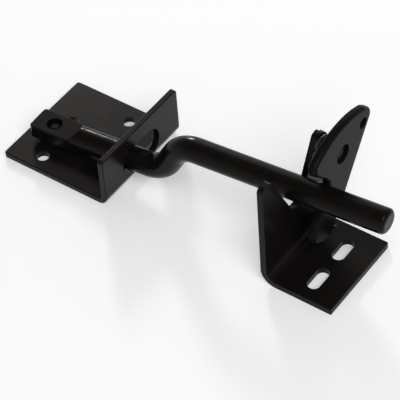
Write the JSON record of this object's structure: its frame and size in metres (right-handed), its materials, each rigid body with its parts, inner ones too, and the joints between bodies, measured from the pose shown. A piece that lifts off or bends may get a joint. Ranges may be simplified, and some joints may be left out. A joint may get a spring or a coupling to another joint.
{
  "type": "spring loaded gate latch",
  "caption": "Gate latch with a cranked round bar swinging on a slotted angle plate and a sprung hook dog on a notched angle plate that holds the bar.",
  "frame": {"origin": "centre of the gate plate's back face, in the plane of both mounting faces", "axes": "+X along the bar from the gate half to the post half, +Y across to the dog's side, +Z away from the gate"},
  "size_m": [0.2057, 0.0703, 0.0707],
  "materials": {
    "bracket_coat": "glossy black powder coat",
    "bar_coat": "glossy black powder coat",
    "dog_coat": "glossy black powder coat",
    "rivet_coat": "glossy black powder coat",
    "sleeve_steel": "dull steel",
    "spring_steel": "dark spring steel"
  },
  "bodies": {
    "frame": {"bar_bracket": "bracket_coat", "bar_pivot_rivet": "rivet_coat", "bar_spacer": "rivet_coat", "catch_bracket": "bracket_coat", "dog_pivot_rivet": "rivet_coat", "dog_sleeve": "sleeve_steel", "dog_spring": "spring_steel"},
    "strike_bar": {"strike_bar": "bar_coat"},
    "latch_dog": {"latch_dog": "dog_coat"}
  },
  "joints": [
    {"name": "bar_swing", "type": "hinge", "parent": "frame", "child": "strike_bar", "pos_m": [-0.0155, -0.00865, 0.0097], "axis": [0, 0, 1], "range_deg": [-0.6, 0]},
    {"name": "dog_turn", "type": "hinge", "parent": "frame", "child": "latch_dog", "pos_m": [0.1359, 0.0158, 0.0535], "axis": [1, 0, 0], "range_deg": [0, 12], "stiffness_Nm_per_rad": 0.05, "springref_deg": -57.3, "deforming": ["dog_spring"]}
  ]
}
